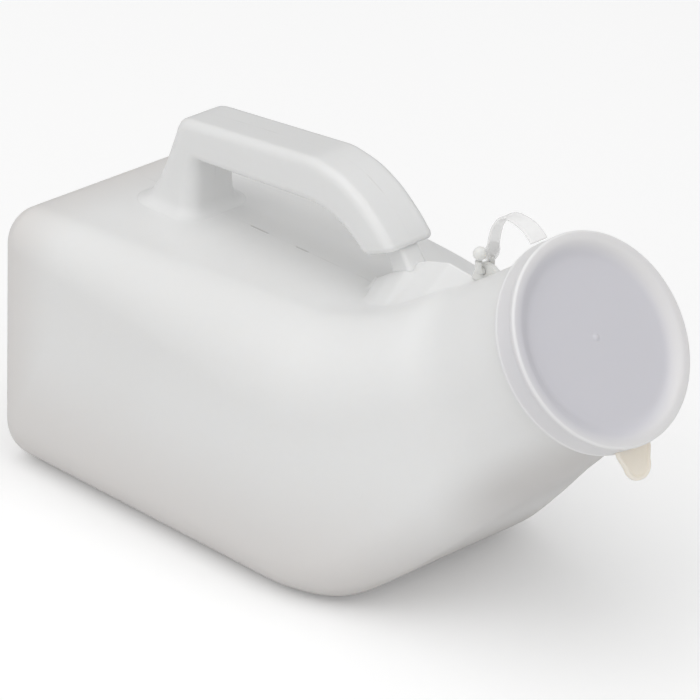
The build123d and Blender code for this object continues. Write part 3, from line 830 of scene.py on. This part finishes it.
def lid_painted_light(nodes, links, place, colour):
    """Painted shade: a greyer disc inside the rim, for the dark mouth behind it; painted highlights: thin
    light lines along the rim's edge and the bead.
    """
    from_centre = add_node(nodes, "ShaderNodeVectorMath", {1: tuple(MOUTH * MM)}, operation="SUBTRACT")
    links.new(place, from_centre.inputs[0])
    offset = from_centre.outputs["Vector"]
    along = add_node(nodes, "ShaderNodeVectorMath", {1: tuple(ALONG)}, operation="DOT_PRODUCT")
    links.new(offset, along.inputs[0])
    squared = add_node(nodes, "ShaderNodeVectorMath", operation="DOT_PRODUCT")
    links.new(offset, squared.inputs[0])
    links.new(offset, squared.inputs[1])
    height = along.outputs["Value"]
    height_squared = chain(nodes, links, "MULTIPLY", height, height)
    flat = chain(nodes, links, "SUBTRACT", squared.outputs["Value"], height_squared)
    radius = chain(nodes, links, "SQRT", chain(nodes, links, "MAXIMUM", flat, 0.0))
    axes = split_axes(nodes, links, place)
    # painted shade: the disc is greyer over the dark mouth, reaching further towards -Y
    lopsided = chain(nodes, links, "ADD", radius, chain(nodes, links, "MULTIPLY", axes.outputs["Y"], 0.1))
    share = eased(nodes, links, lopsided, 0.0262, 0.0312, 1.0, 0.0)
    colour = mixed(nodes, links, share, colour, DISC_SHADE_TONE)
    # painted highlights: thin light lines along the rim's outer edge and along the skirt's bead
    edge_radius = eased(nodes, links, radius, 0.0316, 0.0319)
    edge_height = eased(nodes, links, height, -0.0008, -0.0005)
    bead_radius = eased(nodes, links, radius, 0.03213, 0.0323)
    bead_height = eased(nodes, links, height, -0.0076, -0.0079)
    edge = product(nodes, links, edge_radius, edge_height)
    bead = product(nodes, links, bead_radius, bead_height)
    line = chain(nodes, links, "MULTIPLY", chain(nodes, links, "MAXIMUM", edge, bead), 0.35)
    return mixed(nodes, links, line, colour, HIGHLIGHT_LINE_TONE)


def outer_wall_plastic(name):
    """The bottle's own plastic, the same on the bottle and on the handle, so that they meet unseen."""
    material = polyethylene(name, *BOTTLE_TONES, 0.40, BOTTLE_GLOW, GLOW_DEPTH, wall_painted_light, parting_line)
    even_foot(material)
    return material


def inner_wall_plastic(name):
    """The inside, which glows a little in place of the daylight that comes through the wall."""
    material = polyethylene(name, *BOTTLE_TONES, 0.45, 0.0, GLOW_DEPTH)
    shader = material.node_tree.nodes["Principled BSDF"]
    shader.inputs["Emission Color"].default_value = (0.95, 0.93, 0.90, 1)
    shader.inputs["Emission Strength"].default_value = 0.16
    return material


def clear_strap_plastic(name):
    """The strap's thin plastic, which is partly clear."""
    material = polyethylene(name, *STRAP_TONES, 0.3, 0.0, 0.001)
    material.node_tree.nodes["Principled BSDF"].inputs["Alpha"].default_value = 0.45
    return material


bottle_plastic = outer_wall_plastic("bottle_polyethylene")
inner_plastic = inner_wall_plastic("bottle_inside")
handle_plastic = outer_wall_plastic("handle_polyethylene")
add_gloss(handle_plastic, 0.089, 0.096)
lid_plastic = polyethylene("lid_polyethylene", *LID_TONES, 0.38, 0.45, GLOW_DEPTH, lid_painted_light)
tab_plastic = polyethylene("tab_polyethylene", *TAB_TONES, 0.36, 0.4, GLOW_DEPTH)
stud_plastic = polyethylene("stud_polyethylene", *STUD_TONES, 0.36, BOTTLE_GLOW, GLOW_DEPTH)
strap_plastic = clear_strap_plastic("strap_polyethylene")


# ---- objects --------------------------------------------------------------
def finish_piece(obj, material, nodes, body=None):
    """Give a piece its material, hide the CAD parts that it replaces, and, when a body is given, let it ride
    on that body.
    """
    obj.data.materials.append(material)
    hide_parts(*nodes)
    if body:
        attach(obj, body)
    return obj


wall_rings, first_inner = bottle_rings()
wall = finish_piece(
    grid_mesh("bottle_wall", [wall_rings]),
    bottle_plastic,
    ("chamber", "shoulder", "bottle_neck", "mouth_lip", "shoulder_boss"),
    "bottle",
)
wall.data.materials.append(inner_plastic)
indices = np.zeros(len(wall.data.polygons), np.int32)
indices[first_inner * RING_COUNT : (len(wall_rings) - 1) * RING_COUNT] = 1  # the inner wall
wall.data.polygons.foreach_set("material_index", indices)
finish_piece(
    grid_mesh("handle", [leg_rings() + grip_rings() + grip_end_rings()]),
    handle_plastic,
    ("handle_leg", "handle_grip"),
    "bottle",
)
stem_rings = [bar_ring(front, rear, half_width, radius) for rear, front, half_width, radius in STEM]
stem = grid_mesh("stem", [stem_rings])
finish_piece(stem, handle_plastic, ("handle_stem",), "bottle")
finish_piece(
    turned_mesh("snap_lid", LID_PROFILE, 224),
    lid_plastic,
    ("lid_rim", "lid_skirt", "lid_plug", "lid_disc"),
    "lid",
)
finish_piece(grid_mesh("tab", [tab_rings()]), tab_plastic, ("pull_tab",), "lid")
stud = grid_mesh("stud", stud_islands())
finish_piece(stud, stud_plastic, ("tether_stud",), "bottle")
strap = grid_mesh("strap", [strap_ribbon(), strap_pad()])
finish_piece(strap, strap_plastic, ("tether_strap",))
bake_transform(strap)
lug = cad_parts["tether_lug"]
lug.data.materials.clear()
lug.data.materials.append(stud_plastic)

# ---- floor, light and camera ----------------------------------------------
FLOOR_SIZE = 9.0
FLOOR_TONE = (0.86, 0.86, 0.86, 1)
FLOOR_SEEN_TONE = (0.95, 0.95, 0.95, 1)
WHITE = (1, 1, 1, 1)
BRIGHTEST_SKY = (0.40, -0.26, 0.88)  # the direction that the sky is brightest in


def mix_by_camera(nodes, links, lighting, seen, surface):
    """Lighting for every ray but the camera's, and seen for the camera's."""
    path = add_node(nodes, "ShaderNodeLightPath")
    mix = add_node(nodes, "ShaderNodeMixShader")
    links.new(path.outputs["Is Camera Ray"], mix.inputs["Fac"])
    links.new(lighting, mix.inputs[1])
    links.new(seen, mix.inputs[2])
    links.new(mix.outputs[0], surface)


def make_floor():
    """A plain pale floor, a little lighter to the camera than to the light it throws back."""
    bpy.ops.mesh.primitive_plane_add(size=FLOOR_SIZE, location=(0, 0, -0.0002))
    floor = bpy.context.object
    floor.name = "floor"
    material, nodes, links, shader = new_material("floor")
    shader.inputs["Base Color"].default_value = FLOOR_TONE
    shader.inputs["Roughness"].default_value = 0.9
    shader.inputs["Specular IOR Level"].default_value = 0.1
    lighter = add_node(nodes, "ShaderNodeBsdfPrincipled", {"Base Color": FLOOR_SEEN_TONE, "Roughness": 0.9})
    lighter.inputs["Specular IOR Level"].default_value = 0.1
    lighter.inputs["Emission Color"].default_value = WHITE
    lighter.inputs["Emission Strength"].default_value = 0.14
    surface = nodes["Material Output"].inputs["Surface"]
    mix_by_camera(nodes, links, shader.outputs[0], lighter.outputs[0], surface)
    floor.data.materials.append(material)


def make_sky():
    """White behind the object, and a soft gradient as the light."""
    world = bpy.data.worlds.new("studio")
    bpy.context.scene.world = world
    world.use_nodes = True
    nodes, links = world.node_tree.nodes, world.node_tree.links
    seen = nodes["Background"]
    seen.inputs["Color"].default_value = WHITE
    seen.inputs["Strength"].default_value = 1.0
    lit = add_node(nodes, "ShaderNodeBackground", {"Color": WHITE})
    direction = nodes.new("ShaderNodeTexCoord").outputs["Generated"]
    toward = add_node(nodes, "ShaderNodeVectorMath", {1: BRIGHTEST_SKY}, operation="DOT_PRODUCT")
    links.new(direction, toward.inputs[0])
    axes = split_axes(nodes, links, direction)
    above = eased(nodes, links, toward.outputs["Value"], -0.6, 1.0, 0.32, 0.86)
    beyond = eased(nodes, links, axes.outputs["Y"], 0.0, 0.9, 1.0, 0.6)
    links.new(product(nodes, links, above, beyond), lit.inputs["Strength"])
    mix_by_camera(nodes, links, lit.outputs[0], seen.outputs[0], nodes["World Output"].inputs["Surface"])


def frame_matrix(right, up, back, place):
    """The matrix of an object whose own axes and origin are given, in metres."""
    matrix = np.eye(4)
    matrix[:3] = np.c_[right, up, back, place]
    return Matrix(matrix.tolist())


def soft_lamp(name, place, aim, width, depth, power):
    """An area lamp at place, in metres, that faces aim; its width is level."""
    data = bpy.data.lights.new(name, "AREA")
    data.shape = "RECTANGLE"
    data.size = width
    data.size_y = depth
    data.energy = power
    lamp = bpy.data.objects.new(name, data)
    bpy.context.scene.collection.objects.link(lamp)
    direction = np.array(aim, float) - np.array(place, float)
    back = -direction / np.linalg.norm(direction)
    right = np.cross((0, 0, 1.0), back)
    right = right / np.linalg.norm(right) if np.linalg.norm(right) > 1e-6 else np.array((1.0, 0, 0))
    up = np.cross(back, right)
    lamp.matrix_world = frame_matrix(right, up, back, place)


def make_camera():
    """The camera, turned by its roll about its own line of sight."""
    data = bpy.data.cameras.new("camera")
    data.lens = LENS
    data.sensor_width = SENSOR
    camera = bpy.data.objects.new("camera", data)
    bpy.context.scene.collection.objects.link(camera)
    ground = np.array((math.sin(AZIMUTH), -math.cos(AZIMUTH), 0.0)) * math.cos(ELEVATION)
    back = ground + np.array((0.0, 0.0, math.sin(ELEVATION)))
    level = np.array((math.cos(AZIMUTH), math.sin(AZIMUTH), 0.0))
    upright = np.cross(back, level)
    right = level * math.cos(ROLL) + upright * math.sin(ROLL)
    up = upright * math.cos(ROLL) - level * math.sin(ROLL)
    camera.matrix_world = frame_matrix(right, up, back, (TARGET + back * DISTANCE) * MM)
    return camera


make_floor()
make_sky()
AIM = (0.03, 0, 0.06)
soft_lamp("overhead", (0.1, -0.35, 1.5), AIM, 1.4, 1.4, 5.0)
soft_lamp("strip", (0.06, -1.1, 1.15), AIM, 1.1, 0.05, 1.3)
bpy.context.scene.view_settings.view_transform = "Standard"
bpy.context.scene.camera = make_camera()
